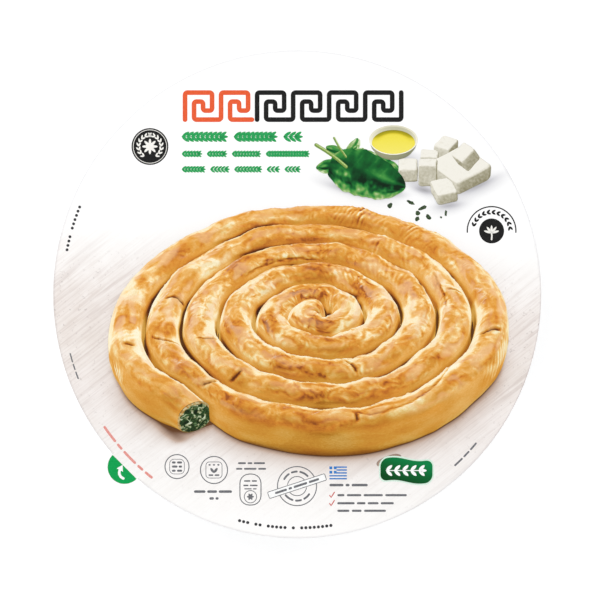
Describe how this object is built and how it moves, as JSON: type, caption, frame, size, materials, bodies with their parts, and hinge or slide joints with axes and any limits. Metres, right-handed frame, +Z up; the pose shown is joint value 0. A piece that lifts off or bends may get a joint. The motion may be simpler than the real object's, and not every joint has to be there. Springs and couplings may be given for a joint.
{
  "type": "round sealed tray pack of spiral filo pie",
  "caption": "Shut round pack: a shallow pressed foil tray closed by a flat white printed lid sheet with a half-round pull tab on its edge.",
  "frame": {"origin": "centre of the tray's underside, on the surface that the pack stands on", "axes": "+Z up through the lid sheet, +Y towards the top of the printed face, +X towards its right-hand side"},
  "size_m": [0.285, 0.285, 0.0348],
  "materials": {
    "tray_foil": "satin",
    "lid_sheet": "satin",
    "print_ink": "satin"
  },
  "bodies": {
    "root": {"tray": "tray_foil", "lid_sheet": "lid_sheet"}
  },
  "joints": []
}
